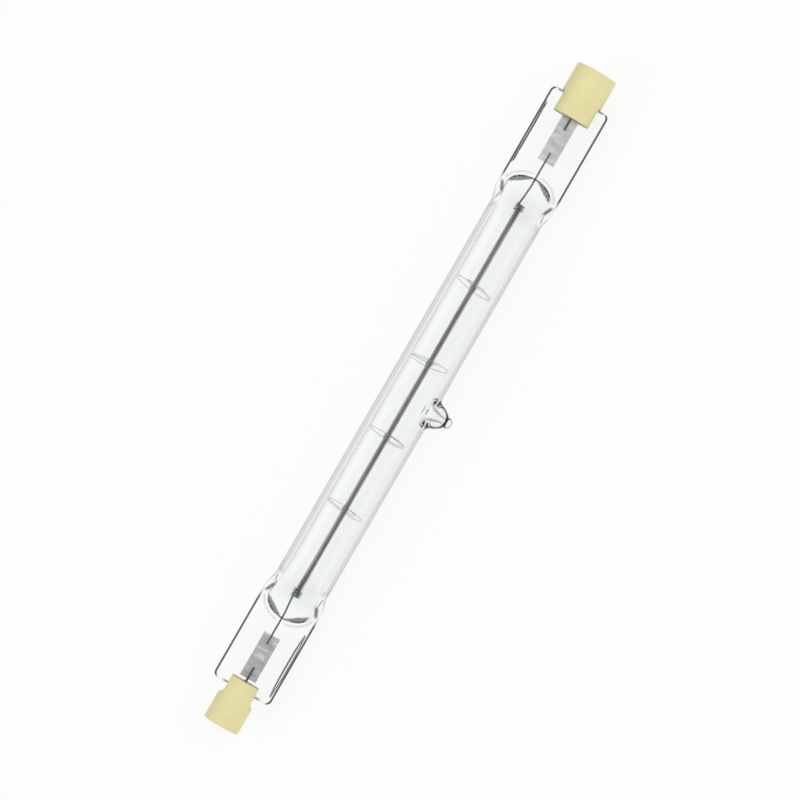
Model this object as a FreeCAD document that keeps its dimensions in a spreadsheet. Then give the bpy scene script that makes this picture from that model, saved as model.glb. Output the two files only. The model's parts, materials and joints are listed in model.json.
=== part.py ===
import FreeCAD, Part
import math
import os

import Sketcher
from FreeCAD import Placement, Rotation, Vector

# A double-ended linear halogen lamp, in millimetres.
# Its axis runs along X, and the two ends are called left (-X) and right (+X).
# Every piece is drawn about the lamp's own axis, with the pinch seals flat in XY and the exhaust tip
# towards -Y, and is then rolled about that axis until the lamp lies on its tube, its tip just off the floor.

SIZES = {
    # whole lamp
    "overall_length": 117.6,
    # from each end of the lamp to where its tube stops being straight
    "end_length": 25.8,
    # quartz tube
    "tube_diameter": 9.05,
    "tube_wall": 1.05,
    "flare_length": 3.4,
    # pinch seals: an inset or setback is measured from the end of the lamp
    "pinch_width": 10.15,
    "pinch_thickness": 2.6,
    "pinch_corner": 0.9,
    "pinch_inset_left": 6.3,
    "pinch_inset_right": 5.05,
    "press_length": 8.5,
    "press_lead_in": 3.3,
    "press_rise": 0.15,
    "rail_setback": 7.7,
    "rail_length": 11.1,
    "rail_width": 0.54,
    "rail_height": 0.25,
    "rail_inset": 0.4,
    # hollow inside the quartz: an overrun is measured from the end of the straight tube
    "hollow_overrun": 6.65,
    "dome_depth": 2.75,
    "hollow_press_length": 9.0,
    "hollow_tail": 0.7,
    # exhaust tip
    "tip_place": -0.3,
    "tip_reach": 7.84,
    "tip_root": 0.9,
    "tip_base_diameter": 4.1,
    "tip_nub_diameter": 1.8,
    "tip_bore_diameter": 0.9,
    "tip_bore_cover": 1.5,
    "tip_clearance": 0.1,
    # filament and the coils that clamp it to its leads
    "filament_diameter": 1.0,
    "filament_wire": 0.22,
    "filament_overrun_left": 1.9,
    "filament_overrun_right": 1.3,
    "clamp_wire": 0.26,
    "clamp_length": 1.6,
    "clamp_clearance": 0.05,
    # spiral supports
    "support_wire": 0.2,
    "support_clearance": 0.03,
    "bore_clearance": 0.12,
    "support_place_first": -19.9,
    "support_place_second": -6.8,
    "support_place_third": 6.4,
    "support_place_fourth": 20.1,
    # sealed conductors
    "inner_lead_diameter": 0.3,
    "inner_lead_offset": 0.1,
    "inner_lead_run": 0.5,
    "inner_lead_bend_length": 3.2,
    "outer_lead_diameter": 0.42,
    "weld_depth": 0.105,
    "foil_setback": 8.4,
    "foil_length": 7.8,
    "foil_width": 2.8,
    "foil_thickness": 0.05,
    "inner_weld_length": 1.7,
    "outer_weld_length": 2.0,
    # ceramic caps
    "cap_diameter_left": 5.96,
    "cap_diameter_right": 6.86,
    "cap_body_left": 4.4,
    "cap_body_right": 4.6,
    "tongue_width_left": 4.75,
    "tongue_width_right": 6.13,
    "tongue_length_left": 3.45,
    "tongue_length_right": 3.7,
    "shoulder_radius": 0.9,
    "cap_edge": 0.12,
    "cement_gap": 0.15,
    # contacts in the caps
    "contact_recess": 1.7,
    "recess_diameter_left": 3.4,
    "recess_diameter_right": 3.8,
    "contact_diameter": 3.0,
    "contact_thickness": 0.8,
    "contact_clearance": 0.03,
    "shank_diameter": 1.2,
    "shank_length": 1.4,
}

# How far a cutting sketch reaches past what it cuts
MARGIN = 1.0

# How far each end is turned about Z, in degrees
SIDES = {"left": 180.0, "right": 0.0}
# How each support's spiral stands, in degrees: turned about the lamp's axis, then leaning sideways
SUPPORTS = {"first": (90.0, 4.0), "second": (0.0, 0.0), "third": (200.0, 6.0), "fourth": (290.0, -5.0)}

doc = FreeCAD.newDocument("linear_halogen_lamp")
sheet = doc.addObject("Spreadsheet::Sheet", "Sizes")
nodes = {}


class Size:
    """A number together with the sheet expression that it comes from."""

    def __init__(self, value, text):
        self.value = value
        self.text = text

    def __add__(self, other):
        other = as_size(other)
        return Size(self.value + other.value, f"({self.text} + {other.text})")

    def __sub__(self, other):
        other = as_size(other)
        return Size(self.value - other.value, f"({self.text} - {other.text})")

    def __mul__(self, other):
        other = as_size(other)
        return Size(self.value * other.value, f"({self.text} * {other.text})")

    def __truediv__(self, other):
        other = as_size(other)
        return Size(self.value / other.value, f"({self.text} / {other.text})")

    def __neg__(self):
        return Size(-self.value, f"(0 - {self.text})")


def as_size(number):
    return number if isinstance(number, Size) else Size(float(number), str(number))


def size(name):
    return Size(SIZES[name], f"Sizes.{name}")


def fill_sheet():
    for row, (name, value) in enumerate(SIZES.items(), start=1):
        sheet.set(f"A{row}", name)
        sheet.set(f"B{row}", str(value))
        sheet.setAlias(f"B{row}", name)
    doc.recompute()


# Sizes that several pieces share

ZERO = as_size(0)
half_length = size("overall_length") / 2
tube_radius = size("tube_diameter") / 2
bore_radius = tube_radius - size("tube_wall")
straight_end = half_length - size("end_length")
pinch_half = size("pinch_thickness") / 2
pinch_radius = size("pinch_width") / 2
nub_radius = size("tip_nub_diameter") / 2
filament_radius = size("filament_diameter") / 2
inner_radius = size("inner_lead_diameter") / 2
outer_radius = size("outer_lead_diameter") / 2
dome_apex = straight_end + size("hollow_overrun")
rail_end = half_length - size("rail_setback")
foil_end = half_length - size("foil_setback")
foil_start = foil_end - size("foil_length")
contact_face = half_length - size("contact_recess")
contact_back = contact_face - size("contact_thickness")
shank_end = contact_back - size("shank_length")
slot_half = pinch_half + size("cement_gap")


def pinch_end(side):
    return half_length - size(f"pinch_inset_{side}")


def filament_end(side):
    return straight_end + size(f"filament_overrun_{side}")


def slot_floor(side):
    return pinch_end(side) + size("cement_gap")


def body_start(side):
    return half_length - size(f"cap_body_{side}")


def tongue_end(side):
    return body_start(side) - size(f"tongue_length_{side}")


def rest_placement():
    """Lays the tube on a floor at z = 0 with the tip just clear of it, and centres the lamp across Y."""
    nub_centre = size("tip_reach").value - nub_radius.value
    tip_drop = tube_radius.value - nub_radius.value - size("tip_clearance").value
    roll = math.asin(tip_drop / nub_centre)
    tip_side = nub_centre * math.cos(roll) + nub_radius.value
    face_edge = math.sqrt(pinch_radius.value**2 - pinch_half.value**2)
    plate_side = face_edge * math.cos(roll) + pinch_half.value * math.sin(roll)
    shift = (tip_side - max(plate_side, tube_radius.value)) / 2
    return Placement(Vector(0, shift, tube_radius.value), Rotation(Vector(1, 0, 0), math.degrees(roll)))


REST = rest_placement()


def end_placement(side):
    """Pieces of an end are drawn along +X, and the left end's are turned half round."""
    return REST * Placement(Vector(), Rotation(Vector(0, 0, 1), SIDES[side]))


def keep(label, piece, placement):
    piece.Label = label
    piece.Placement = placement
    nodes[label] = piece
    return piece


# Sketches and features

def sketch_on(body, role, name, distance=ZERO):
    plane = next(plane for plane in body.Origin.OriginFeatures if plane.Role == role)
    sketch = body.newObject("Sketcher::SketchObject", name)
    sketch.AttachmentSupport = (plane, [""])
    sketch.MapMode = "FlatFace"
    sketch.AttachmentOffset = Placement(Vector(0, 0, distance.value), Rotation())
    sketch.setExpression("AttachmentOffset.Base.z", distance.text)
    return sketch


def bind(sketch, constraint, amount):
    row = sketch.addConstraint(constraint)
    sketch.setExpression(f"Constraints[{row}]", amount.text)


def pin(sketch, geometry, end, x, y):
    """Dimensions a point of the sketch from the sketch's origin."""
    for kind, axis, distance in (("DistanceX", -2, x), ("DistanceY", -1, y)):
        if distance is ZERO:
            sketch.addConstraint(Sketcher.Constraint("PointOnObject", geometry, end, axis))
        else:
            bind(sketch, Sketcher.Constraint(kind, -1, 1, geometry, end, distance.value), distance)


def minor_arc(start, finish, radius, turn):
    """The arc of up to half a circle from start to finish: turn 1 goes anticlockwise, turn -1 clockwise."""
    chord = finish - start
    across = Vector(-chord.y, chord.x, 0).normalize()
    rise = math.sqrt(max(radius**2 - chord.Length**2 / 4, 0))
    centre = (start + finish) / 2 + across * rise * turn
    first, last = (start, finish) if turn > 0 else (finish, start)
    angles = [math.atan2(point.y - centre.y, point.x - centre.x) for point in (first, last)]
    return Part.ArcOfCircle(Part.Circle(centre, Vector(0, 0, 1), radius), *angles)


def draw(sketch, corners, closed=True):
    """Draws a line through corners: (x, y) ends a straight run and (x, y, radius, turn) ends an arc."""
    first = sketch.GeometryCount
    points = [Vector(corner[0].value, corner[1].value, 0) for corner in corners]
    ends = []
    for index in range(0 if closed else 1, len(corners)):
        start, finish, arc = points[index - 1], points[index], corners[index][2:]
        edge = minor_arc(start, finish, arc[0].value, arc[1]) if arc else Part.LineSegment(start, finish)
        row = sketch.addGeometry(edge)
        ends.append((row, 2, 1) if arc and arc[1] < 0 else (row, 1, 2))
        pin(sketch, row, ends[-1][2], *corners[index][:2])
        if arc:
            bind(sketch, Sketcher.Constraint("Radius", row, arc[0].value), arc[0])
    for index in range(0 if closed else 1, len(ends)):
        before, after = ends[index - 1], ends[index]
        sketch.addConstraint(Sketcher.Constraint("Coincident", before[0], before[2], after[0], after[1]))
    if not closed:
        pin(sketch, first, ends[0][1], *corners[0][:2])
    return sketch


def circle(sketch, radius, x=ZERO, y=ZERO):
    row = sketch.addGeometry(Part.Circle(Vector(x.value, y.value, 0), Vector(0, 0, 1), radius.value))
    pin(sketch, row, 3, x, y)
    bind(sketch, Sketcher.Constraint("Radius", row, radius.value), radius)
    return sketch


def rectangle(sketch, left, right, low, high):
    return draw(sketch, [(left, low), (right, low), (right, high), (left, high)])


def s_curve_radius(length, height):
    """Radius of the two equal arcs of an S that starts and ends level."""
    return (length * length + height * height) / (height * 4)


def dome_radius(depth, half_width):
    """Radius of the arc that rises by depth over half its width."""
    return (depth * depth + half_width * half_width) / (depth * 2)


def revolve(body, sketch, axis):
    turned = body.newObject("PartDesign::Revolution", f"{sketch.Name}_revolution")
    turned.Profile = sketch
    turned.ReferenceAxis = (sketch, [axis])
    turned.Angle = 360
    return turned


def pad(body, sketch, length):
    raised = body.newObject("PartDesign::Pad", f"{sketch.Name}_pad")
    raised.Profile = sketch
    raised.setExpression("Length", length.text)
    return raised


def cut_through(body, sketch):
    pocket = body.newObject("PartDesign::Pocket", f"{sketch.Name}_pocket")
    pocket.Profile = sketch
    pocket.Type = "ThroughAll"
    pocket.SideType = "Symmetric"
    return pocket


def fuse(name, pieces):
    joined = doc.addObject("Part::MultiFuse", name)
    joined.Shapes = pieces
    return joined


def cut(name, base, tool):
    rest = doc.addObject("Part::Cut", name)
    rest.Base = base
    rest.Tool = tool
    return rest


# Quartz envelope

def envelope_profile(side, sign):
    """Half the outline of one end in plan, from the straight tube out to the lamp's axis."""
    sign = as_size(sign)
    return [
        (sign * straight_end, tube_radius),
        (sign * (straight_end + size("flare_length")), pinch_radius),
        (sign * pinch_end(side), pinch_radius),
        (sign * pinch_end(side), ZERO),
    ]


def run_backwards(corners):
    """The same line drawn from its far end, so each arc moves to the corner it now ends at."""
    arcs = [corner[2:] for corner in corners[1:]] + [()]
    backwards = [corner[:2] + arc for corner, arc in zip(corners, arcs)]
    flipped = [corner[:2] + ((corner[2], -corner[3]) if len(corner) > 2 else ()) for corner in backwards]
    return flipped[::-1]


def press_profiles(sketch, sign, start, length, top, flat, reach):
    """The two regions that the pressing jaws take away above and below one end."""
    curve = s_curve_radius(length, top - flat)
    across = as_size(sign)
    ceiling = top + MARGIN
    for updown in (1, -1):
        up = as_size(updown)
        turn = sign * updown
        draw(sketch, [
            (across * start, up * top),
            (across * (start + length / 2), up * ((top + flat) / 2), curve, -turn),
            (across * (start + length), up * flat, curve, turn),
            (across * (reach + MARGIN), up * flat),
            (across * (reach + MARGIN), up * ceiling),
            (across * start, up * ceiling),
        ])


def corner_profiles(sketch, side, sign):
    """The two regions outside the rounded corners of one pinch, in plan."""
    along = as_size(sign)
    corner = size("pinch_corner")
    end = pinch_end(side)
    for updown in (1, -1):
        up = as_size(updown)
        draw(sketch, [
            (along * (end - corner), up * pinch_radius),
            (along * end, up * (pinch_radius - corner), corner, -sign * updown),
            (along * (end + MARGIN), up * (pinch_radius - corner)),
            (along * (end + MARGIN), up * (pinch_radius + MARGIN)),
            (along * (end - corner), up * (pinch_radius + MARGIN)),
        ])


def add_rail(body, side):
    """A narrow round-ended rail that the press leaves along one edge of a seal's front."""
    sign = as_size(1 if side == "right" else -1)
    half = size("rail_width") / 2
    near = rail_end - size("rail_length") + half
    far = rail_end - half
    face_edge = pinch_radius - size("rail_inset")
    inner = face_edge - size("rail_width")
    middle = face_edge - half
    sketch = sketch_on(body, "XY_Plane", f"rail_{side}")
    draw(sketch, [
        (sign * near, sign * face_edge),
        (sign * (near - half), sign * middle, half, 1),
        (sign * near, sign * inner, half, 1),
        (sign * far, sign * inner),
        (sign * (far + half), sign * middle, half, 1),
        (sign * far, sign * face_edge, half, 1),
    ])
    pad(body, sketch, pinch_half + size("rail_height"))


def tip_profile():
    """Half the exhaust tip: a cone and a rounded nub."""
    base = size("tip_base_diameter") / 2
    place = size("tip_place")
    return [
        (place, -(tube_radius - size("tip_root"))),
        (place, -size("tip_reach")),
        (place + nub_radius, -(size("tip_reach") - nub_radius), nub_radius, 1),
        (place + base, -tube_radius),
        (place + base, -(tube_radius - size("tip_root"))),
    ]


def add_tip_axis(sketch):
    """A construction line along the tip's own axis."""
    place = size("tip_place")
    line = Part.LineSegment(Vector(place.value, 0, 0), Vector(place.value, -size("tip_reach").value, 0))
    row = sketch.addGeometry(line, True)
    pin(sketch, row, 1, place, ZERO)
    pin(sketch, row, 2, place, -size("tip_reach"))


def make_pressed_tube():
    body = doc.addObject("PartDesign::Body", "pressed_tube")
    outline = sketch_on(body, "XY_Plane", "tube_outline")
    draw(outline, envelope_profile("right", 1) + run_backwards(envelope_profile("left", -1)))
    revolve(body, outline, "H_Axis")
    jaws = sketch_on(body, "XZ_Plane", "jaws")
    for side, sign in (("left", -1), ("right", 1)):
        start = straight_end - size("press_lead_in")
        press_profiles(jaws, sign, start, size("press_length"), tube_radius + size("press_rise"),
                       pinch_half, pinch_end(side))
    cut_through(body, jaws)
    corners = sketch_on(body, "XY_Plane", "corners")
    corner_profiles(corners, "left", -1)
    corner_profiles(corners, "right", 1)
    cut_through(body, corners)
    for side in SIDES:
        add_rail(body, side)
    tip = sketch_on(body, "XY_Plane", "tip")
    add_tip_axis(tip)
    draw(tip, tip_profile())
    revolve(body, tip, "Axis0")
    body.Placement = REST
    return body


def hollow_profile(turn):
    """Half the hollow's outline at one end in plan: the bore closes in a dome."""
    sign = as_size(turn)
    return [
        (sign * (dome_apex - size("dome_depth")), bore_radius),
        (sign * dome_apex, ZERO, dome_radius(size("dome_depth"), bore_radius), -turn),
    ]


def make_hollow():
    body = doc.addObject("PartDesign::Body", "hollow")
    outline = sketch_on(body, "XY_Plane", "hollow_outline")
    draw(outline, hollow_profile(1) + run_backwards(hollow_profile(-1)))
    revolve(body, outline, "H_Axis")
    wedge = sketch_on(body, "XZ_Plane", "wedge")
    for sign in (-1, 1):
        press_profiles(wedge, sign, straight_end - size("press_lead_in"), size("hollow_press_length"),
                       bore_radius + size("press_rise"), size("hollow_tail") / 2, dome_apex)
    cut_through(body, wedge)
    place = size("tip_place")
    bore = sketch_on(body, "XY_Plane", "tip_bore")
    add_tip_axis(bore)
    rectangle(bore, place, place + size("tip_bore_diameter") / 2,
              -(size("tip_reach") - size("tip_bore_cover")), -(bore_radius - size("tube_wall")))
    revolve(body, bore, "Axis0")
    body.Placement = REST
    return body


# Sealed conductors

def make_foil(side):
    foil = doc.addObject("Part::Box", f"foil_{side}_sheet")
    foil.setExpression("Length", size("foil_length").text)
    foil.setExpression("Width", size("foil_width").text)
    foil.setExpression("Height", size("foil_thickness").text)
    low = -(size("weld_depth") + size("foil_thickness"))
    corner = Vector(foil_start.value, -size("foil_width").value / 2, low.value)
    return keep(f"foil_{side}", foil, end_placement(side) * Placement(corner, Rotation()))


def flatten(body, name, start, finish, radius):
    """Takes the underside off a wire where it is welded flat on the foil."""
    sketch = sketch_on(body, "XZ_Plane", f"{name}_weld")
    rectangle(sketch, start, finish, -(radius + MARGIN), -size("weld_depth"))
    cut_through(body, sketch)


def make_inner_lead(side):
    """Lead from the filament clamp, with two slight bends, to its weld on the foil."""
    up = as_size(1 if side == "right" else -1)
    high = up * (filament_radius + size("clamp_clearance") / 2 - inner_radius)
    low = up * size("inner_lead_offset")
    start = filament_end(side)
    bend_start = start + size("inner_lead_run")
    bend_end = bend_start + size("inner_lead_bend_length")
    finish = foil_start + size("inner_weld_length")
    body = doc.addObject("PartDesign::Body", f"inner_lead_{side}_wire")
    route = sketch_on(body, "XY_Plane", f"inner_route_{side}")
    draw(route, [
        (start, high),
        (bend_start, high),
        (bend_end, low),
        (finish, low),
    ], closed=False)
    section = sketch_on(body, "YZ_Plane", f"inner_section_{side}", start)
    circle(section, inner_radius, high, ZERO)
    pipe = body.newObject("PartDesign::AdditivePipe", f"inner_pipe_{side}")
    pipe.Profile = section
    pipe.Spine = (route, [f"Edge{index + 1}" for index in range(route.GeometryCount)])
    pipe.Transition = "Right corner"
    flatten(body, f"inner_{side}", foil_start, finish + MARGIN, inner_radius)
    return keep(f"inner_lead_{side}", body, end_placement(side))


def make_outer_lead(side):
    """Straight lead from its weld on the foil to the end of the contact's shank."""
    start = foil_end - size("outer_weld_length")
    body = doc.addObject("PartDesign::Body", f"outer_lead_{side}_wire")
    section = circle(sketch_on(body, "YZ_Plane", f"outer_section_{side}", start), outer_radius)
    pad(body, section, shank_end - start)
    flatten(body, f"outer_{side}", start - MARGIN, foil_end, outer_radius)
    return keep(f"outer_lead_{side}", body, end_placement(side))


# Filament, clamps and supports, whose close-wound turns are one solid each

def make_filament():
    """The close-wound coil as one hollow run."""
    body = doc.addObject("PartDesign::Body", "filament_run")
    section = sketch_on(body, "YZ_Plane", "filament_section", -filament_end("left"))
    circle(section, filament_radius)
    circle(section, filament_radius - size("filament_wire"))
    pad(body, section, filament_end("left") + filament_end("right"))
    return keep("filament_coil", body, REST)


def make_clamp(side):
    """The short coil round the last turns of the filament and the end of its lead, as one hollow run."""
    inner = filament_radius + size("clamp_clearance")
    start = filament_end(side) - size("clamp_length") / 2
    body = doc.addObject("PartDesign::Body", f"clamp_{side}_run")
    section = sketch_on(body, "YZ_Plane", f"clamp_section_{side}", start)
    circle(section, inner)
    circle(section, inner + size("clamp_wire"))
    pad(body, section, size("clamp_length"))
    return keep(f"filament_clamp_{side}", body, end_placement(side))


def quarter_arcs(centre, radius, first, count):
    """Corners of an anticlockwise run of quarter circles about a point on the sketch's x axis."""
    spokes = [(1, 0), (0, 1), (-1, 0), (0, -1)]
    corners = []
    for quarter in range(first, first + count):
        x, y = spokes[quarter % 4]
        across = centre + radius * x if x or centre is not ZERO else ZERO
        corners.append((across, radius * y if y else ZERO, radius, 1))
    return corners


def make_support(number, place, turned):
    """A wire that rings the filament and opens in a flat spiral to a loop near the bore."""
    tight = filament_radius + size("support_clearance") + size("support_wire") / 2
    wide = bore_radius - size("bore_clearance") - size("support_wire") / 2
    half_wire = size("support_wire") / 2
    body = doc.addObject("PartDesign::Body", f"support_{number}_wire")
    route = sketch_on(body, "YZ_Plane", f"support_route_{number}")
    start = (-tight, ZERO)
    ring = quarter_arcs(ZERO, tight, 3, 2)
    opening = quarter_arcs((tight - wide) / 2, (tight + wide) / 2, 1, 2)
    loop = quarter_arcs(ZERO, wide, 3, 3)
    draw(route, [start] + ring + opening + loop, closed=False)
    section = sketch_on(body, "XY_Plane", f"support_section_{number}")
    rectangle(section, -half_wire, half_wire, -(tight + half_wire), -(tight - half_wire))
    pipe = body.newObject("PartDesign::AdditivePipe", f"support_pipe_{number}")
    pipe.Profile = section
    pipe.Spine = (route, [f"Edge{index + 1}" for index in range(route.GeometryCount)])
    return keep(f"filament_support_{number}", body, REST * Placement(Vector(place.value, 0, 0), turned))


# Ceramic caps, contacts and cement

def make_cap(side):
    """A turned cap with a recess for its contact, slotted into two jaws that straddle the pinch."""
    outer = size(f"cap_diameter_{side}") / 2
    recess = size(f"recess_diameter_{side}") / 2
    seat = size("contact_diameter") / 2 + size("contact_clearance")
    passage = size("shank_diameter") / 2 + size("contact_clearance")
    edge = size("cap_edge")
    tongue = size(f"tongue_width_{side}") / 2
    shoulder = size("shoulder_radius")
    body = doc.addObject("PartDesign::Body", f"cap_{side}")
    half_section = sketch_on(body, "XY_Plane", f"cap_section_{side}")
    draw(half_section, [
        (tongue_end(side), passage),
        (contact_back, passage),
        (contact_back, seat),
        (contact_face, seat),
        (contact_face, recess),
        (half_length, recess),
        (half_length, outer - edge),
        (half_length - edge, outer),
        (tongue_end(side), outer),
    ])
    revolve(body, half_section, "H_Axis")
    slot = sketch_on(body, "XZ_Plane", f"cap_slot_{side}")
    rectangle(slot, tongue_end(side) - MARGIN, slot_floor(side), -slot_half, slot_half)
    cut_through(body, slot)
    flanks = sketch_on(body, "XY_Plane", f"cap_flanks_{side}")
    for turn in (1, -1):
        up = as_size(turn)
        draw(flanks, [
            (tongue_end(side) - MARGIN, up * tongue),
            (body_start(side) - shoulder, up * tongue),
            (body_start(side), up * (tongue + shoulder), shoulder, turn),
            (body_start(side), up * (tongue + shoulder + outer)),
            (tongue_end(side) - MARGIN, up * (tongue + shoulder + outer)),
        ])
    cut_through(body, flanks)
    return keep(f"ceramic_cap_{side}", body, end_placement(side))


def make_contact(side):
    """A flat button at the bottom of the recess, with a shank that the outer lead is welded to."""
    head = size("contact_diameter") / 2
    shank = size("shank_diameter") / 2
    body = doc.addObject("PartDesign::Body", f"contact_{side}_button")
    half_section = sketch_on(body, "XY_Plane", f"contact_section_{side}")
    draw(half_section, [
        (contact_face, ZERO),
        (contact_face, head),
        (contact_back, head),
        (contact_back, shank),
        (shank_end, shank),
        (shank_end, ZERO),
    ])
    revolve(body, half_section, "H_Axis")
    return keep(f"contact_{side}", body, end_placement(side))


def make_cement(side, pressed_tube, outer_lead):
    """The thin layer that fills the cap's slot round the end of the pinch."""
    width = size(f"tongue_width_{side}")
    filling = doc.addObject("Part::Box", f"cement_{side}_filling")
    filling.setExpression("Length", (slot_floor(side) - tongue_end(side)).text)
    filling.setExpression("Width", width.text)
    filling.setExpression("Height", (slot_half * 2).text)
    corner = Vector(tongue_end(side).value, -width.value / 2, -slot_half.value)
    filling.Placement = end_placement(side) * Placement(corner, Rotation())
    layer = cut(f"cement_{side}", filling, fuse(f"cement_{side}_core", [pressed_tube, outer_lead]))
    return keep(f"cap_cement_{side}", layer, Placement())


def check(objects):
    failed = [piece.Label for piece in objects if {"Invalid", "Error"} & set(piece.State)]
    wrong = [label for label, piece in nodes.items() if piece.Shape.isNull() or not piece.Shape.isValid()]
    if failed or wrong:
        raise RuntimeError(f"failed features {failed}, wrong shapes {wrong}")


def build():
    fill_sheet()
    pressed_tube = make_pressed_tube()
    sealed = [make_hollow()]
    for side in SIDES:
        lead = make_outer_lead(side)
        sealed += [make_foil(side), make_inner_lead(side), lead]
        make_clamp(side)
        make_cap(side)
        make_contact(side)
        make_cement(side, pressed_tube, lead)
    keep("quartz_envelope", cut("envelope", pressed_tube, fuse("sealed_space", sealed)), Placement())
    make_filament()
    for number, (word, (roll, lean)) in enumerate(SUPPORTS.items(), start=1):
        stance = Rotation(Vector(0, 1, 0), lean) * Rotation(Vector(1, 0, 0), roll)
        make_support(number, size(f"support_place_{word}"), stance)
    doc.recompute()
    check(doc.Objects)


build()
os.makedirs("parts", exist_ok=True)
for label, piece in nodes.items():
    piece.Shape.exportStep(f"parts/{label}.step")
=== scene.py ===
"""Looks of a linear halogen lamp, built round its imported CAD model."""
import json
import math

import bmesh
import bpy
from mathutils import Matrix, Vector


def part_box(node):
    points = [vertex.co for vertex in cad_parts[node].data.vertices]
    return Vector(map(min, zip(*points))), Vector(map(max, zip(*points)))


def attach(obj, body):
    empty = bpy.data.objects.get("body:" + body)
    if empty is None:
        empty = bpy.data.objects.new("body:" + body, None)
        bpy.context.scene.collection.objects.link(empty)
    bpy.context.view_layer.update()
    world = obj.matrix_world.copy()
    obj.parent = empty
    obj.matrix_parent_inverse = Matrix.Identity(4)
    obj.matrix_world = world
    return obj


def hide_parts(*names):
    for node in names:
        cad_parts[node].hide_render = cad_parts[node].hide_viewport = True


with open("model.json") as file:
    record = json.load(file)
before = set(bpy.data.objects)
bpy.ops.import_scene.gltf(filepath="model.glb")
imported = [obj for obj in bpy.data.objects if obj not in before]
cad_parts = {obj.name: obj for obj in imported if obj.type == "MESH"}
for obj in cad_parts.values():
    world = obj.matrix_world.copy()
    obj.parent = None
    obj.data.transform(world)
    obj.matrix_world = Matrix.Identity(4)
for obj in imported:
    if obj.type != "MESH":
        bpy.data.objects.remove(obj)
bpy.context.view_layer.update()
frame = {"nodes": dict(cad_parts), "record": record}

# The lamp's own frame: millimetres, x along the lamp, y in the plane of the pinches, z out of it
MM = 0.001
MOUNTS = {mount["name"]: mount for mount in frame["record"]["mounts"]}
AXIS = Vector(MOUNTS["contact_recess_right"]["pos_m"])
TUBE_RADIUS = AXIS.z / MM
TIP_REACH = 7.84
NUB_RADIUS = 0.9
TIP_CLEARANCE = 0.1
ROLL = math.asin((TUBE_RADIUS - NUB_RADIUS - TIP_CLEARANCE) / (TIP_REACH - NUB_RADIUS))
LIE = Matrix.Translation((0, AXIS.y, AXIS.z)) @ Matrix.Rotation(ROLL, 4, "X")
LAMP = LIE @ Matrix.Scale(MM, 4)

# Glass sizes
BORE_RADIUS = 3.475
TIP_PLACE = -0.3
FLARE_START = 33.0
FLARE_LENGTH = 3.4
PRESS_START = 29.7
PRESS_LENGTH = 8.5
SQUARE_START = 32.8
PINCH_HALF_WIDTH = 5.075
PINCH_HALF_THICKNESS = 1.3
PINCH_CORNER = 0.9
PINCH_EDGE = 0.28
RAIL_FROM = 40.0
RAIL_TO = 51.1
RAIL_HEIGHT = 0.22
RAIL_WIDTH = 0.5
RAIL_PLACE = {1: 4.68, -1: -4.45}
HOLLOW_PRESS = 9.0
HOLLOW_TAIL = 0.6
HOLLOW_RIM = 0.9
DOME_END = 39.65
DOME_DEPTH = 2.75
DOME_START = DOME_END - DOME_DEPTH
DOME_HALF_WIDTH = 3.95
TIP_BASE = 2.95
PINCH_ENDS = [corner.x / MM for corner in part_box("quartz_envelope")]

# Painted shade: dark lines painted into the glass's colour where light would bend away, with their
# places, widths and depths
LINE_WIDTH = 0.16
EDGE_LINE = 0.26
EDGE_FADE = 0.14
EDGE_RISE = 2.0
RAIL_LINES = {1: (4.76, 0.16), -1: (-4.44, 0.24)}
RAIL_BOW = 0.7
RAIL_DARK = 0.95
END_STROKE = 1.2
END_DEPTH = 0.5
END_DARK = 0.9
NECK_HALF_WIDTH = {1: 3.2, -1: 2.36}
ARC_BEYOND = 0.5
ARC_BESIDE = 0.4
ARC_START = 0.2
ARC_CLEAR = 0.6
ARC_DARK = 0.55
SHOULDER_END = 37.2
SHOULDER_LENGTH = 2.2
SHOULDER_PLACE = 4.6
SHOULDER_SLANT = 0.95
SHOULDER_STROKE = 0.42
SHOULDER_DARK = 0.95
CRESCENT = 1.0
CRESCENT_FROM = 0.1
CRESCENT_TO = 0.94
CRESCENT_BOW = 0.7
CRESCENT_DARK = 0.75
BORDER_DARK = 0.98
TAPER = 10
FLANK_START = 0.7
FLANK_FADE = 0.25
FLANK_RISE = 0.4
FLANK_END = 2.6
FLANK_FALL = 0.5
FLANK_DARK = 0.75

# Points round a section: a quarter has its side, edge, rail and flat in this order
SIDE, EDGE, RAIL, FLAT = 3, 8, 16, 20
QUARTER = SIDE + EDGE + RAIL + FLAT
ROUND = 4 * QUARTER
TIP_HALF = math.ceil(TIP_BASE * ROUND / (2 * math.pi * TUBE_RADIUS))

# Rings along the glass: where they start beside the exhaust tip, and how many each stretch has
OUTSIDE_START = 6.0
HOLLOW_START = 5.0
RAIL_RUN_IN = 1.2
RAIL_STEP = 0.2
RAIL_RUN_OUT = 0.1
TUBE_RINGS = 8
PRESS_RINGS = 42
RUN_IN_RINGS = 26
RAIL_RINGS = 44
RUN_OUT_RINGS = 8
CORNER_RINGS = 12
HOLLOW_RINGS = 28
DOME_RINGS = 32
NUB_STEP = 10


# Shapes that repeat

def mix(first, second, share):
    return first + (second - first) * share


def s_curve(share):
    """Eases from 0 to 1 along two arcs that meet in the middle."""
    share = min(max(share, 0.0), 1.0)
    if share < 0.5:
        return 2 * share * share
    return 1 - 2 * (1 - share) ** 2


def rounding(distance, radius):
    """How far a corner of this radius draws the outline in, at a distance from the end."""
    if distance >= radius:
        return 0.0
    return radius - math.sqrt(max(radius**2 - (radius - distance) ** 2, 0.0))


def spaced(start, end, count):
    return [mix(start, end, step / count) for step in range(count + 1)]


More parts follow.
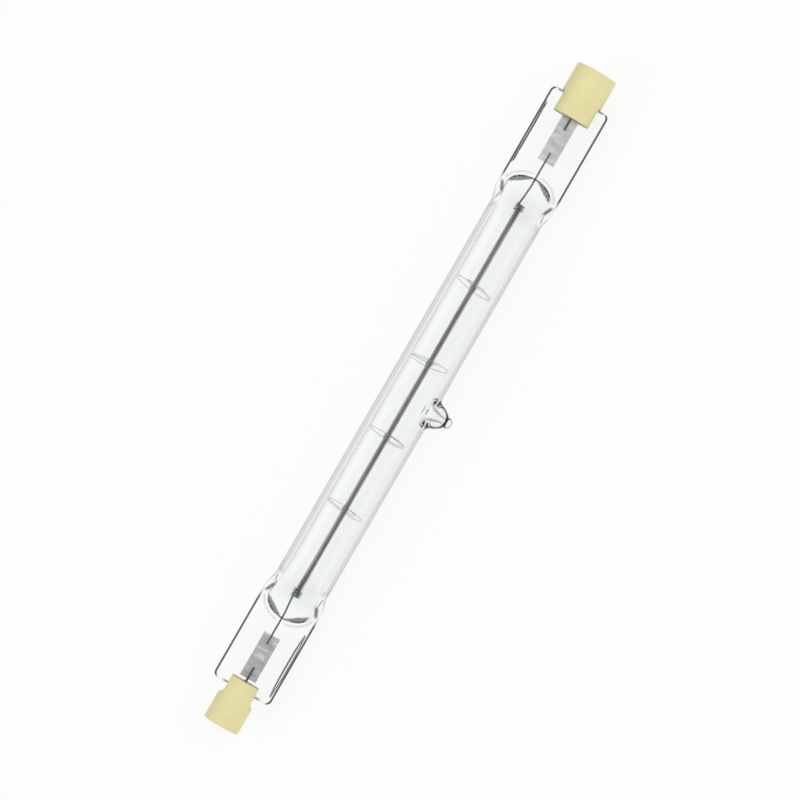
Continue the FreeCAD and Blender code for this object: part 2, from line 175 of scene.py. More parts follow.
class Shell:
    """Points and faces of one closed surface, in the lamp's own frame."""

    def __init__(self):
        self.points = []
        self.faces = []
        self.shades = []

    def ring(self, points, shades=None):
        start = len(self.points)
        self.points.extend(points)
        self.shades.extend(shades or [0.0] * len(points))
        return list(range(start, len(self.points)))

    def bridge(self, first, second, skip=()):
        count = len(first)
        for here in range(count):
            there = (here + 1) % count
            if here not in skip:
                self.faces.append((first[here], first[there], second[there], second[here]))

    def close(self, ring, point):
        tip = self.ring([point])[0]
        for here in range(len(ring)):
            self.faces.append((ring[here], ring[(here + 1) % len(ring)], tip))

    def mesh(self, name, hollow=False):
        """The closed surface as a mesh that faces out, or into the hollow that it bounds."""
        mesh = bpy.data.meshes.new(name)
        mesh.from_pydata([LAMP @ Vector(point) for point in self.points], [], self.faces)
        # Painted shade for each point, which the glass reads to paint its dark lines
        mesh.attributes.new("shade", "FLOAT", "POINT").data.foreach_set("value", self.shades)
        work = bmesh.new()
        work.from_mesh(mesh)
        loose = [vert for vert in work.verts if not vert.link_faces]
        bmesh.ops.delete(work, geom=loose, context="VERTS")
        bmesh.ops.recalc_face_normals(work, faces=work.faces)
        if hollow:
            bmesh.ops.reverse_faces(work, faces=work.faces)
        work.to_mesh(mesh)
        work.free()
        mesh.shade_smooth()
        return mesh


def wire(shell, path, radius, sides):
    """A round wire along a path, closed at both ends."""
    path = [Vector(point) for point in path]
    across = Vector((0.31, 0.17, 0.93))
    turns = [2 * math.pi * side / sides for side in range(sides)]
    rings = []
    for place, point in enumerate(path):
        before = path[max(place - 1, 0)]
        after = path[min(place + 1, len(path) - 1)]
        along = (after - before).normalized()
        across = (across - along * across.dot(along)).normalized()
        up = along.cross(across)
        rings.append(shell.ring([
            point + radius * (math.cos(turn) * across + math.sin(turn) * up) for turn in turns
        ]))
    for first, second in zip(rings, rings[1:]):
        shell.bridge(first, second)
    shell.close(rings[0], path[0])
    shell.close(rings[-1], path[-1])


def helix(start, end, radius, turns, steps, centre_y=0.0, phase=0.0):
    """Points of a coil along the lamp."""
    count = int(turns * steps)
    path = []
    for step in range(count + 1):
        angle = phase + 2 * math.pi * step / steps
        x = mix(start, end, step / count)
        path.append((x, centre_y + radius * math.cos(angle), radius * math.sin(angle)))
    return path


def place_piece(name, mesh, material, slot, *nodes):
    """A piece that stands for CAD nodes and moves with the lamp."""
    mesh.materials.clear()
    mesh.materials.append(material)
    piece = bpy.data.objects.new(name, mesh)
    bpy.context.scene.collection.objects.link(piece)
    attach(piece, "root")
    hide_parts(*nodes)
    return piece


# Materials

def new_material(name):
    """A material with its shader and a lookup for adding nodes."""
    material = bpy.data.materials.new(name)
    material.use_nodes = True
    return material, material.node_tree.nodes, material.node_tree.links


def noise(nodes, links, scale, detail, stretch=(1, 1, 1)):
    """Noise in the lamp's place, stretched along its axes."""
    place = nodes.new("ShaderNodeTexCoord")
    mapping = nodes.new("ShaderNodeMapping")
    mapping.inputs["Scale"].default_value = stretch
    texture = nodes.new("ShaderNodeTexNoise")
    texture.inputs["Scale"].default_value = scale
    texture.inputs["Detail"].default_value = detail
    links.new(place.outputs["Object"], mapping.inputs["Vector"])
    links.new(mapping.outputs["Vector"], texture.inputs["Vector"])
    return texture


def ramp(nodes, links, source, stops):
    """A colour ramp with the given (place, colour) stops."""
    node = nodes.new("ShaderNodeValToRGB")
    elements = node.color_ramp.elements
    while len(elements) < len(stops):
        elements.new(0.5)
    for element, (place, colour) in zip(elements, stops):
        element.position = place
        element.color = (*colour, 1)
    links.new(source, node.inputs["Fac"])
    return node


def bump(nodes, links, source, shader, strength, depth):
    node = nodes.new("ShaderNodeBump")
    node.inputs["Strength"].default_value = strength
    node.inputs["Distance"].default_value = depth
    links.new(source, node.inputs["Height"])
    links.new(node.outputs["Normal"], shader.inputs["Normal"])


def quartz_material(name, stops):
    """Clear quartz with a flame's faint waves and painted shade: grey towards its edges, and near black
    where its points carry painted dark lines.
    """
    material, nodes, links = new_material(name)
    shader = nodes["Principled BSDF"]
    shader.inputs["Transmission Weight"].default_value = 1.0
    shader.inputs["IOR"].default_value = 1.458
    shader.inputs["Roughness"].default_value = 0.0
    facing = nodes.new("ShaderNodeLayerWeight")
    facing.inputs["Blend"].default_value = 0.5
    green_stops_and_painted_edge_shade = [(place, (0.985 * level, level, 0.99 * level)) for place, level in stops]
    green_tint_and_painted_edge_shade = ramp(nodes, links, facing.outputs["Facing"], green_stops_and_painted_edge_shade)
    shade = nodes.new("ShaderNodeAttribute")
    shade.attribute_name = "shade"
    # Painted shade: near black wherever the points carry painted dark lines
    dark = nodes.new("ShaderNodeMix")
    dark.data_type = "RGBA"
    dark.inputs["B"].default_value = (0.01, 0.01, 0.01, 1)
    links.new(shade.outputs["Fac"], dark.inputs["Factor"])
    links.new(green_tint_and_painted_edge_shade.outputs["Color"], dark.inputs["A"])
    links.new(dark.outputs["Result"], shader.inputs["Base Color"])
    waves = noise(nodes, links, 220, 2, (0.3, 1, 1))
    bump(nodes, links, waves.outputs["Fac"], shader, 0.04, 0.00005)
    return material


def metal_material(name, dark, light, roughness, scale, stretch):
    """Drawn or rolled metal with streaks along its length."""
    material, nodes, links = new_material(name)
    shader = nodes["Principled BSDF"]
    shader.inputs["Metallic"].default_value = 1.0
    streaks = noise(nodes, links, scale, 4, stretch)
    tone = ramp(nodes, links, streaks.outputs["Fac"], [(0.3, dark), (0.7, light)])
    links.new(tone.outputs["Color"], shader.inputs["Base Color"])
    rough = nodes.new("ShaderNodeMapRange")
    rough.inputs["To Min"].default_value = roughness * 0.75
    rough.inputs["To Max"].default_value = roughness * 1.25
    links.new(streaks.outputs["Fac"], rough.inputs["Value"])
    links.new(rough.outputs["Result"], shader.inputs["Roughness"])
    bump(nodes, links, streaks.outputs["Fac"], shader, 0.1, 0.00001)
    return material


def foil_material(name, dark, light):
    """Thin rolled foil with bright scratches across it."""
    material, nodes, links = new_material(name)
    shader = nodes["Principled BSDF"]
    shader.inputs["Metallic"].default_value = 1.0
    shader.inputs["Roughness"].default_value = 0.35
    scratches = noise(nodes, links, 400, 4, (3, 1, 1))
    stops = [(0.3, dark), (0.58, light), (0.64, (0.97, 0.97, 0.97)), (0.7, light)]
    tone = ramp(nodes, links, scratches.outputs["Fac"], stops)
    links.new(tone.outputs["Color"], shader.inputs["Base Color"])
    bump(nodes, links, scratches.outputs["Fac"], shader, 0.2, 0.00001)
    return material


def ceramic_material(name, low, high, roughness, grain):
    """Fired ceramic: a soft drift of colour and a fine grain."""
    material, nodes, links = new_material(name)
    shader = nodes["Principled BSDF"]
    drift = noise(nodes, links, 260, 3)
    tone = ramp(nodes, links, drift.outputs["Fac"], [(0.3, low), (0.7, high)])
    links.new(tone.outputs["Color"], shader.inputs["Base Color"])
    shader.inputs["Roughness"].default_value = roughness
    specks = noise(nodes, links, grain, 2)
    bump(nodes, links, specks.outputs["Fac"], shader, 0.12, 0.00002)
    return material


# The levels grey the glass where it faces away, towards its edges: painted shade
QUARTZ_OUTSIDE = quartz_material("clear_quartz", [
    (0.0, 1.0), (0.2, 0.98), (0.38, 0.86), (0.5, 0.55), (0.65, 0.46), (0.9, 0.36), (1.0, 0.3)])
QUARTZ_INSIDE = quartz_material("clear_quartz_hollow", [
    (0.0, 1.0), (0.3, 0.99), (0.6, 0.9), (0.8, 0.82), (1.0, 0.7)])
TUNGSTEN = metal_material(
    "drawn_tungsten", (0.3, 0.3, 0.305), (0.46, 0.46, 0.465), 0.3, 900, (0.2, 1, 1))
MOLYBDENUM = metal_material(
    "drawn_molybdenum", (0.14, 0.14, 0.14), (0.26, 0.26, 0.26), 0.35, 500, (0.1, 1, 1))
# One foil metal in two copies: the left painted darker as painted shade, the right painted lighter as
# painted light
FOIL = {
    "left": foil_material("rolled_foil_shaded_left", (0.5, 0.5, 0.5), (0.7, 0.7, 0.7)),
    "right": foil_material("rolled_foil_lit_right", (0.64, 0.64, 0.64), (0.86, 0.86, 0.86)),
}
NICKEL = metal_material("turned_nickel", (0.5, 0.47, 0.42), (0.66, 0.63, 0.58), 0.3, 700, (1, 1, 1))
CERAMIC = ceramic_material("pale_steatite", (0.79, 0.72, 0.36), (0.84, 0.77, 0.4), 0.45, 3000)
CEMENT = ceramic_material("lamp_cement", (0.7, 0.67, 0.58), (0.84, 0.82, 0.74), 0.85, 1800)


# Glass

def quarter_point(step, half_width, half_thickness):
    """A point of a rounded rectangle's first quarter, from its side to the middle of its flat."""
    radius = min(PINCH_EDGE, half_thickness)
    inner = half_width - radius
    if step <= SIDE:
        return half_width, (half_thickness - radius) * step / SIDE
    if step <= SIDE + EDGE:
        angle = math.pi / 2 * (step - SIDE) / EDGE
        return inner + radius * math.cos(angle), half_thickness - radius + radius * math.sin(angle)
    rail_inner = inner - 2 * RAIL_WIDTH
    if step <= SIDE + EDGE + RAIL:
        return mix(inner, rail_inner, (step - SIDE - EDGE) / RAIL), half_thickness
    return mix(rail_inner, 0.0, (step - SIDE - EDGE - RAIL) / FLAT), half_thickness


def quarter_step(step):
    """The quarter that a section's point lies in, and its step from that quarter's side."""
    quarter, part = divmod(step, QUARTER)
    return quarter, QUARTER - part if quarter % 2 else part


def round_rectangle(half_width, half_thickness):
    points = []
    for step in range(ROUND):
        quarter, part = quarter_step(step)
        y, z = quarter_point(part, half_width, half_thickness)
        points.append((-y if quarter in (1, 2) else y, -z if quarter in (2, 3) else z))
    return points


def which_end(x):
    return 1 if x > 0 else -1


def rail_share(x):
    """How far along its rail a place is: 0 and 1 at the rail's ends."""
    return (abs(x) - RAIL_FROM) / (RAIL_TO - RAIL_FROM)


def rail_lift(x, y):
    """Height of the low ridge beside one edge of each pinch."""
    along = rail_share(x)
    across = (y - RAIL_PLACE[which_end(x)]) / (RAIL_WIDTH / 2)
    if not 0 < along < 1 or abs(across) >= 1:
        return 0.0
    return RAIL_HEIGHT * math.sqrt(math.sin(math.pi * along)) * (1 - across**2)


def edge_shade(x, step, inset):
    """Painted shade: dark lines along the rounded edges of the pinches."""
    if quarter_step(step)[1] < SIDE:
        return 0.0
    line = 1.0 - s_curve((inset - EDGE_LINE) / EDGE_FADE)
    return line * s_curve((abs(x) - FLARE_START - FLARE_LENGTH) / EDGE_RISE)


def rail_shade(x, y, z):
    """Painted shade: dark lines along both sides of each rail."""
    along = rail_share(x)
    if z < 0 or not 0 < along < 1:
        return 0.0
    middle, spread = RAIL_LINES[which_end(x)]
    away = abs(abs(y - middle) - spread * math.sin(math.pi * along) ** RAIL_BOW)
    return min(2 * max(1 - away / LINE_WIDTH, 0.0), RAIL_DARK)


def end_shade(x, y, z, inset):
    """Painted shade: a short dark stroke across the end of each pinch, at both sides of its cap."""
    beside = (abs(y) - NECK_HALF_WIDTH[which_end(x)]) / END_STROKE
    if z < 0 or inset > END_DEPTH or beside > 1:
        return 0.0
    return END_DARK * s_curve(2 - 2 * inset / END_DEPTH) * s_curve(2 - 2 * beside)


def arc_shade(x, y, z):
    """Painted shade: a thin dark arc on the pinch's flat, just outside the hollow's dome."""
    along = (abs(x) - DOME_START) / (DOME_DEPTH + ARC_BEYOND)
    if z < 0 or along <= ARC_START or abs(y) < ARC_CLEAR:
        return 0.0
    away = abs(math.hypot(along, y / (DOME_HALF_WIDTH + ARC_BESIDE)) - 1) * DOME_DEPTH
    return ARC_DARK * max(1 - away / LINE_WIDTH, 0.0)


def shoulder_shade(place, y, z):
    """Painted shade: a short dark stroke that slants in from each shoulder of the pinch."""
    along = (SHOULDER_END - place) / SHOULDER_LENGTH
    if z < 0 or not 0 < along < 1:
        return 0.0
    away = abs(abs(y) - SHOULDER_PLACE + SHOULDER_SLANT * along)
    stroke = min(2 * max(1 - away / SHOULDER_STROKE, 0.0), 1.0)
    return SHOULDER_DARK * stroke * s_curve(4 * along) * s_curve(4 - 4 * along)


def outer_section(x):
    """The envelope's outside across the lamp: a circle on the tube, a rounded slab on a pinch."""
    place = abs(x)
    end = PINCH_ENDS[1] if x > 0 else -PINCH_ENDS[0]
    pressed = s_curve((place - PRESS_START) / PRESS_LENGTH)
    flared = s_curve((place - FLARE_START) / FLARE_LENGTH)
    squared = s_curve((place - SQUARE_START) / (PRESS_START + PRESS_LENGTH - SQUARE_START))
    half_width = mix(TUBE_RADIUS, PINCH_HALF_WIDTH, flared) - rounding(end - place, PINCH_CORNER)
    half_thickness = mix(TUBE_RADIUS, PINCH_HALF_THICKNESS, pressed) - rounding(end - place, PINCH_EDGE)
    points = []
    shades = []
    for step, (flat_y, flat_z) in enumerate(round_rectangle(half_width, half_thickness)):
        angle = 2 * math.pi * step / ROUND
        y = mix(half_width * math.cos(angle), flat_y, squared)
        z = mix(half_thickness * math.sin(angle), flat_z, squared)
        if z > 0:
            z += rail_lift(x, y)
        points.append((x, y, z))
        # Painted shade at this point: the darkest of the painted dark lines that cross it
        shades.append(max(
            edge_shade(x, step, half_width - abs(y)), rail_shade(x, y, z),
            end_shade(x, y, z, end - place), arc_shade(x, y, z), shoulder_shade(place, y, z)))
    return points, shades


def rim_shade(dome, y, full_width, inset):
    """Painted shade: grey crescents with dark borders where the hollow's dome closes, either side of
    the lead.
    """
    turn = math.atan2(dome, abs(y) / full_width) / (math.pi / 2)
    share = (turn - CRESCENT_FROM) / (CRESCENT_TO - CRESCENT_FROM)
    if not 0 < share < 1:
        return 0.0
    width = CRESCENT * math.sin(math.pi * share) ** CRESCENT_BOW
    border = max(1 - inset / LINE_WIDTH, 1 - abs(inset - width) / LINE_WIDTH, 0.0)
    fill = CRESCENT_DARK if inset < width else 0.0
    return max(BORDER_DARK * border, fill) * s_curve(TAPER * share) * s_curve(TAPER - TAPER * share)


def hollow_section(x):
    """The hollow across the lamp: a circle in the tube, flattened and domed into the pinch."""
    place = abs(x)
    pressed = s_curve((place - PRESS_START) / HOLLOW_PRESS)
    dome = max((place - DOME_START) / DOME_DEPTH, 0.0)
    domed = math.sqrt(max(1 - dome**2, 0.0))
    widened = s_curve((place - PRESS_START) / (DOME_START - PRESS_START))
    full_width = mix(BORE_RADIUS, DOME_HALF_WIDTH, widened)
    half_width = full_width * domed
    half_thickness = mix(BORE_RADIUS, HOLLOW_TAIL, pressed)
    points = []
    shades = []
    for step in range(ROUND):
        angle = 2 * math.pi * step / ROUND
        y = half_width * math.cos(angle)
        inset = full_width * (1 - math.hypot(dome, y / full_width))
        rim = 1 - rounding(max(inset, 0.0), HOLLOW_RIM) / HOLLOW_RIM
        side = math.copysign(1, math.sin(angle))
        z = half_thickness * mix(math.sin(angle), side * rim, pressed)
        points.append((x, y, z))
        # Painted shade: the crescents and borders painted round the dome
        shades.append(rim_shade(dome, y, full_width, inset))
    return points, shades


def tip_shade(lift, turn):
    """Painted shade: dark strokes along both flanks of the exhaust tip."""
    flank = s_curve((abs(math.cos(turn)) - FLANK_START) / FLANK_FADE)
    fall = 1 - s_curve((lift - FLANK_END) / FLANK_FALL)
    return FLANK_DARK * flank * s_curve(lift / FLANK_RISE) * fall


def tip_rows(radius, profile):
    """Rings of the exhaust tip round its own axis, from (radius, lift, rise) rows over a tube."""
    steps = range(2 * TIP_HALF)
    square = [(step - TIP_HALF, -TIP_HALF) for step in steps]
    square += [(TIP_HALF, step - TIP_HALF) for step in steps]
    square += [(TIP_HALF - step, TIP_HALF) for step in steps]
    square += [(-TIP_HALF, TIP_HALF - step) for step in steps]
    rows = []
    for size, lift, rise in profile:
        row = []
        shades = []
        for along, around in square:
            turn = math.atan2(around, along)
            across = size * math.sin(turn)
            saddle = radius - math.sqrt(radius**2 - across**2)
            reach = radius + lift - (1 - rise) * saddle
            row.append((TIP_PLACE + size * math.cos(turn), -reach, -across))
            # Painted shade: dark strokes painted along the tip's flanks
            shades.append(tip_shade(lift, turn))
        rows.append((row, shades))
    return square, rows


def tube_shell(section, stations, radius, tip_profile, end_point):
    """A lofted surface along the lamp with the exhaust tip let into its side."""
    shell = Shell()
    cell = 2 * math.pi * radius / ROUND
    tip_stations = [TIP_PLACE + cell * step for step in range(-TIP_HALF, TIP_HALF + 1)]
    outside = [x for x in stations if not tip_stations[0] - cell < x < tip_stations[-1] + cell]
    places = sorted(outside + tip_stations)
    rings = {x: shell.ring(*section(x)) for x in places}
    window = range(ROUND // 2 - TIP_HALF, ROUND // 2 + TIP_HALF)
    for first, second in zip(places, places[1:]):
        in_tip = first in tip_stations and second in tip_stations
        shell.bridge(rings[first], rings[second], window if in_tip else ())
    square, rows = tip_rows(radius, tip_profile)
    border = []
    for along, around in square:
        border.append(rings[tip_stations[along + TIP_HALF]][ROUND // 2 + around])
    for row, shades in rows:
        ring = shell.ring(row, shades)
        shell.bridge(border, ring)
        border = ring
    deepest = radius + tip_profile[-1][1]
    shell.close(border, (TIP_PLACE, -deepest, 0.0))
    shell.close(rings[places[0]], end_point(-1))
    shell.close(rings[places[-1]], end_point(1))
    return shell


def mirrored(places):
    return [sign * place for sign in (-1, 1) for place in places]


def outer_stations():
    """Places of the outside's rings: close where it flares, at the rails and at the rounded ends."""
    press_end = PRESS_START + PRESS_LENGTH
    inner = RAIL_RUN_IN + RAIL_STEP
    half = spaced(OUTSIDE_START, PRESS_START, TUBE_RINGS)
    half += spaced(PRESS_START, press_end, PRESS_RINGS)[1:]
    half += spaced(press_end, RAIL_FROM + RAIL_RUN_IN, RUN_IN_RINGS)[1:]
    half += spaced(RAIL_FROM + inner, RAIL_TO - inner, RAIL_RINGS)
    half += spaced(RAIL_TO - RAIL_RUN_IN, RAIL_TO + RAIL_RUN_OUT, RUN_OUT_RINGS)
    stations = mirrored(half)
    turns = spaced(0.0, math.pi / 2, CORNER_RINGS)
    for end in PINCH_ENDS:
        stations += [end - which_end(end) * PINCH_CORNER * (1 - math.cos(turn)) for turn in turns]
    return stations


def hollow_stations():
    """Places of the hollow's rings: close where it is pressed flat and along its dome."""
    turns = spaced(0.0, math.pi / 2, DOME_RINGS)[1:-1]
    half = spaced(HOLLOW_START, PRESS_START, TUBE_RINGS)
    half += spaced(PRESS_START, DOME_START, HOLLOW_RINGS)[1:]
    half += [DOME_START + DOME_DEPTH * math.sin(turn) for turn in turns]
    return mirrored(half)


def nub_rows():
    """The ball at the end of the exhaust tip."""
    lift = TIP_REACH - NUB_RADIUS - TUBE_RADIUS
    turns = [math.radians(angle) for angle in range(NUB_STEP, 90, NUB_STEP)]
    return [(NUB_RADIUS * math.cos(turn), lift + NUB_RADIUS * math.sin(turn), 1.0) for turn in turns]


# The exhaust tip outside and inside, from its foot: radius, height over the tube, share of its own form
TIP_PROFILE = [
    (TIP_BASE, 0.0, 0.0), (2.7, 0.03, 0.0), (2.45, 0.12, 0.1), (2.25, 0.28, 0.25), (2.1, 0.5, 0.45),
    (1.98, 0.8, 0.7), (1.85, 1.1, 0.9), (1.68, 1.4, 1.0), (1.43, 1.75, 1.0), (1.15, 2.1, 1.0),
    (0.96, 2.35, 1.0), *nub_rows(),
]
EXHAUST_PROFILE = [
    (2.1, 0.0, 0.0), (1.8, 0.03, 0.0), (1.5, 0.12, 0.1), (1.25, 0.3, 0.3), (1.05, 0.6, 0.6),
    (0.85, 1.0, 0.9), (0.65, 1.5, 1.0), (0.5, 2.0, 1.0), (0.42, 2.4, 1.0), (0.3, 2.7, 1.0),
    (0.1, 2.82, 1.0),
]


def envelope():
    outside = tube_shell(
        outer_section, outer_stations(), TUBE_RADIUS, TIP_PROFILE,
        lambda sign: (PINCH_ENDS[sign > 0], 0.0, 0.0))
    hollow = tube_shell(
        hollow_section, hollow_stations(), BORE_RADIUS, EXHAUST_PROFILE,
        lambda sign: (sign * DOME_END, 0.0, 0.0))
    mesh = outside.mesh("glass_envelope")
    inner = hollow.mesh("glass_hollow", hollow=True)
    work = bmesh.new()
    work.from_mesh(mesh)
    work.from_mesh(inner)
    outside_count = len(mesh.polygons)
    work.to_mesh(mesh)
    work.free()
    bpy.data.meshes.remove(inner)
    mesh.shade_smooth()
    piece = place_piece("glass_envelope", mesh, QUARTZ_OUTSIDE, "quartz", "quartz_envelope")
    mesh.materials.append(QUARTZ_INSIDE)
    for face in mesh.polygons[outside_count:]:
        face.material_index = 1
    piece.visible_shadow = False


# Filament, clamps and supports

FILAMENT_RADIUS = 0.5
FILAMENT_WIRE = 0.18
FILAMENT_PITCH = 0.27
WIRE_CLEARANCE = 0.03
CLAMP_WIRE = 0.26
CLAMP_TURNS = 3.2
SUPPORT_WIRE = 0.09
SUPPORT_REACH = 3.15
SUPPORT_TILT = 8.5
SUPPORT_ROLLS = {1: (90, -5), 2: (0, -3), 3: (200, 3), 4: (290, -8)}
GRIP_START = -0.35
GRIP_END = 0.3
GRIP_TURNS = 2.5
ARM_END = 0.05
ARM_TURN = 0.6
LOOP_END = -0.25
LOOP_TURN = 1.15

# Steps in a turn, or along an arm or loop, and sides of each wire
FILAMENT_STEPS, FILAMENT_SIDES = 16, 6
CLAMP_STEPS, CLAMP_SIDES = 28, 10
GRIP_STEPS, ARM_STEPS, LOOP_STEPS, SUPPORT_SIDES = 24, 60, 72, 8


def span(node):
    """A node's lowest and highest x in the lamp's own frame."""
    low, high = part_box(node)
    return low.x / MM, high.x / MM


def filament():
    start, end = span("filament_coil")
    radius = FILAMENT_RADIUS - FILAMENT_WIRE / 2
    turns = (end - start - FILAMENT_WIRE) / FILAMENT_PITCH
    shell = Shell()
    path = helix(start + FILAMENT_WIRE / 2, end - FILAMENT_WIRE / 2, radius, turns, FILAMENT_STEPS)
    wire(shell, path, FILAMENT_WIRE / 2, FILAMENT_SIDES)
    place_piece("filament_wire", shell.mesh("filament_wire"), TUNGSTEN, "tungsten", "filament_coil")


def clamp(side):
    start, end = span(f"filament_clamp_{side}")
    radius = FILAMENT_RADIUS + CLAMP_WIRE / 2 + WIRE_CLEARANCE
    shell = Shell()
    path = helix(start + CLAMP_WIRE / 2, end - CLAMP_WIRE / 2, radius, CLAMP_TURNS, CLAMP_STEPS)
    wire(shell, path, CLAMP_WIRE / 2, CLAMP_SIDES)
    name = f"clamp_wire_{side}"
    place_piece(name, shell.mesh(name), TUNGSTEN, "tungsten", f"filament_clamp_{side}")


def spiral_point(x, radius, turn):
    return x, radius * math.cos(2 * math.pi * turn), radius * math.sin(2 * math.pi * turn)


def support_path():
    """Tight turns on the filament, an arm out to the wall and a little over a turn along it."""
    grip = FILAMENT_RADIUS + SUPPORT_WIRE / 2 + WIRE_CLEARANCE
    path = helix(GRIP_START, GRIP_END, grip, GRIP_TURNS, GRIP_STEPS, phase=-math.pi)
    for share in spaced(0.0, 1.0, ARM_STEPS)[1:]:
        radius = mix(grip, SUPPORT_REACH, s_curve(share))
        path.append(spiral_point(mix(GRIP_END, ARM_END, share), radius, ARM_TURN * share))
    for share in spaced(0.0, 1.0, LOOP_STEPS)[1:]:
        x = mix(ARM_END, LOOP_END, share)
        path.append(spiral_point(x, SUPPORT_REACH, ARM_TURN + LOOP_TURN * share))
    return path


def support(number):
    roll, lean = SUPPORT_ROLLS[number]
    start, end = span(f"filament_support_{number}")
    turn = Matrix.Rotation(math.radians(roll), 4, "X")
    tilt = Matrix.Rotation(math.radians(SUPPORT_TILT), 4, "Y")
    swing = Matrix.Rotation(math.radians(lean), 4, "Z")
    move = Matrix.Translation(((start + end) / 2, 0, 0)) @ swing @ tilt @ turn
    shell = Shell()
    wire(shell, [move @ Vector(point) for point in support_path()], SUPPORT_WIRE / 2, SUPPORT_SIDES)
    name = f"support_wire_{number}"
    place_piece(name, shell.mesh(name), TUNGSTEN, "tungsten", f"filament_support_{number}")


# Caps and the pieces whose solids stay

CAP_BEVEL = 0.04
BEVEL_STEPS = 3
FLAT_ANGLE = math.radians(1)
SMOOTH_ANGLE = math.radians(30)
SHARP_ANGLE = math.radians(35)


def softened(name, node, width, material, slot):
    """A node's own form with its sharp edges rounded."""
    mesh = frame["nodes"][node].data.copy()
    mesh.name = name
    work = bmesh.new()
    work.from_mesh(mesh)
    bmesh.ops.remove_doubles(work, verts=work.verts, dist=1e-6)
    bmesh.ops.dissolve_limit(work, angle_limit=FLAT_ANGLE, verts=work.verts, edges=work.edges)
    sharp = [edge for edge in work.edges if edge.calc_face_angle(0) > SHARP_ANGLE]
    bmesh.ops.bevel(
        work, geom=sharp, offset=width, segments=BEVEL_STEPS, profile=0.5, affect="EDGES",
        clamp_overlap=True)
    work.to_mesh(mesh)
    work.free()
    mesh.shade_smooth()
    mesh.set_sharp_from_angle(angle=SMOOTH_ANGLE)
    place_piece(name, mesh, material, slot, node)


def dress(node, material):
    """Gives a CAD node that stays its material."""
    mesh = frame["nodes"][node].data
    mesh.materials.clear()
    mesh.materials.append(material)


envelope()
filament()
for side in ("left", "right"):
    clamp(side)
    softened(f"cap_{side}", f"ceramic_cap_{side}", CAP_BEVEL * MM, CERAMIC, "ceramic")
    dress(f"inner_lead_{side}", MOLYBDENUM)
    dress(f"foil_{side}", FOIL[side])
    dress(f"outer_lead_{side}", MOLYBDENUM)
    dress(f"contact_{side}", NICKEL)
    dress(f"cap_cement_{side}", CEMENT)
for number in SUPPORT_ROLLS:
    support(number)


# Floor, light and camera

FLOOR_SIZE = 6.0
FLOOR_COLOUR = 0.95
FLOOR_GLOW = 0.85
ROOM_LEVEL = 0.6
DARK_LEVEL = 0.12
PANEL_HEIGHT = math.radians(78)
PANEL_INNER = math.radians(25)
PANEL_OUTER = math.radians(75)
CAMERA_LENS = 200
CAMERA_SENSOR = 36
PHOTO_SIZE = 800
PHOTO_CENTRE = (409, 399)
PIXELS_PER_MM = 6.404
LEAN = math.radians(60)


def either_value(nodes, links, first, second):
    """The larger of two values."""
    larger = nodes.new("ShaderNodeMath")
    larger.operation = "MAXIMUM"
    links.new(first, larger.inputs[0])
    links.new(second, larger.inputs[1])
    return larger.outputs["Value"]


def ray_kind(nodes, links):
    """Two values: 1 for what the camera sees straight, and 1 for what gloss or glass shows."""
    rays = nodes.new("ShaderNodeLightPath").outputs
    shown = either_value(nodes, links, rays["Is Glossy Ray"], rays["Is Transmission Ray"])
    return rays["Is Camera Ray"], shown


def floor():
    """A wide white sheet that shows white and still takes the lamp's shadow."""
    mesh = bpy.data.meshes.new("floor")
    half = FLOOR_SIZE / 2
    corners = [(-half, -half, 0), (half, -half, 0), (half, half, 0), (-half, half, 0)]
    mesh.from_pydata(corners, [], [(0, 1, 2, 3)])
    material, nodes, links = new_material("white_sheet")
    nodes.remove(nodes["Principled BSDF"])
    matte = nodes.new("ShaderNodeBsdfDiffuse")
    matte.inputs["Color"].default_value = (FLOOR_COLOUR, FLOOR_COLOUR, FLOOR_COLOUR, 1)
    straight, shown = ray_kind(nodes, links)
    glow = nodes.new("ShaderNodeEmission")
    share = nodes.new("ShaderNodeMath")
    share.operation = "MULTIPLY"
    share.inputs[1].default_value = FLOOR_GLOW
    links.new(either_value(nodes, links, straight, shown), share.inputs[0])
    blend = nodes.new("ShaderNodeMixShader")
    links.new(share.outputs["Value"], blend.inputs["Fac"])
    links.new(matte.outputs["BSDF"], blend.inputs[1])
    links.new(glow.outputs["Emission"], blend.inputs[2])
    links.new(blend.outputs["Shader"], nodes["Material Output"].inputs["Surface"])
    mesh.materials.append(material)
    piece = bpy.data.objects.new("floor", mesh)
    bpy.context.scene.collection.objects.link(piece)


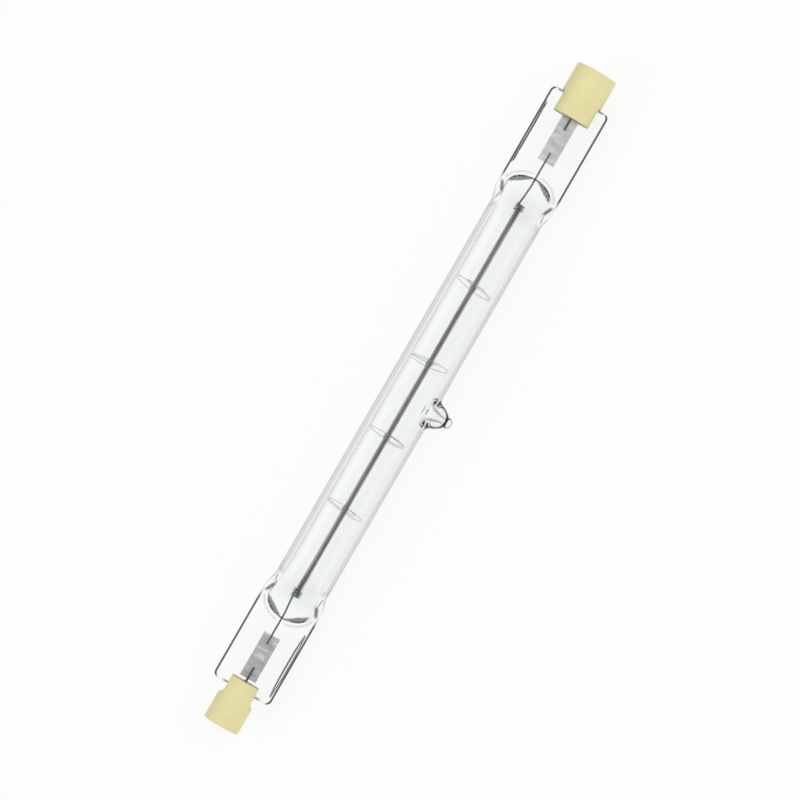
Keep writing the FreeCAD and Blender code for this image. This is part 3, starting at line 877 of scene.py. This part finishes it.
def room():
    """A plain room: even light on matt surfaces, grey with a dark horizon in gloss and glass."""
    world = bpy.data.worlds.new("room")
    bpy.context.scene.world = world
    world.use_nodes = True
    nodes = world.node_tree.nodes
    links = world.node_tree.links
    even = nodes["Background"]
    even.inputs["Color"].default_value = (1, 1, 1, 1)
    even.inputs["Strength"].default_value = ROOM_LEVEL
    place = nodes.new("ShaderNodeTexCoord")
    towards = nodes.new("ShaderNodeVectorMath")
    towards.operation = "DOT_PRODUCT"
    towards.inputs[1].default_value = (0, math.cos(PANEL_HEIGHT), math.sin(PANEL_HEIGHT))
    links.new(place.outputs["Generated"], towards.inputs[0])
    band = nodes.new("ShaderNodeMapRange")
    band.interpolation_type = "SMOOTHSTEP"
    band.inputs["From Min"].default_value = math.cos(PANEL_OUTER)
    band.inputs["From Max"].default_value = math.cos(PANEL_INNER)
    band.inputs["To Min"].default_value = DARK_LEVEL
    links.new(towards.outputs["Value"], band.inputs["Value"])
    straight, shown = ray_kind(nodes, links)
    level = nodes.new("ShaderNodeBackground")
    links.new(either_value(nodes, links, straight, band.outputs["Result"]), level.inputs["Color"])
    blend = nodes.new("ShaderNodeMixShader")
    links.new(either_value(nodes, links, straight, shown), blend.inputs["Fac"])
    links.new(even.outputs["Background"], blend.inputs[1])
    links.new(level.outputs["Background"], blend.inputs[2])
    links.new(blend.outputs["Shader"], nodes["World Output"].inputs["Surface"])


def softbox(name, place, power, size):
    data = bpy.data.lights.new(name, "AREA")
    data.energy = power
    data.size = size
    lamp = bpy.data.objects.new(name, data)
    lamp.location = place
    lamp.rotation_euler = (-Vector(place)).to_track_quat("-Z", "Y").to_euler()
    lamp.visible_glossy = False
    lamp.visible_transmission = False
    bpy.context.scene.collection.objects.link(lamp)


def camera():
    """Looks straight at the pinches' flats, with the lamp leaning up to the right."""
    data = bpy.data.cameras.new("camera")
    data.lens = CAMERA_LENS
    data.sensor_width = CAMERA_SENSOR
    right = Vector((math.cos(LEAN), -math.sin(LEAN), 0))
    up = Vector((math.sin(LEAN), math.cos(LEAN), 0))
    offset_right = (PHOTO_CENTRE[0] - PHOTO_SIZE / 2) / PIXELS_PER_MM
    offset_up = (PHOTO_SIZE / 2 - PHOTO_CENTRE[1]) / PIXELS_PER_MM
    distance = PHOTO_SIZE / PIXELS_PER_MM * CAMERA_LENS / CAMERA_SENSOR
    place = (-offset_right * right - offset_up * up + Vector((0, 0, distance))) * MM
    pose = Matrix.Translation(place)
    pose[0][0:3] = right.x, up.x, 0
    pose[1][0:3] = right.y, up.y, 0
    eye = bpy.data.objects.new("camera", data)
    bpy.context.scene.collection.objects.link(eye)
    eye.matrix_world = LIE @ pose
    bpy.context.scene.camera = eye


floor()
room()
softbox("key", place=(0.3, -0.7, 0.8), power=4.0, size=0.6)
softbox("fill", place=(-0.5, 0.5, 0.9), power=2.0, size=0.8)
camera()
bpy.context.scene.view_settings.view_transform = "Standard"
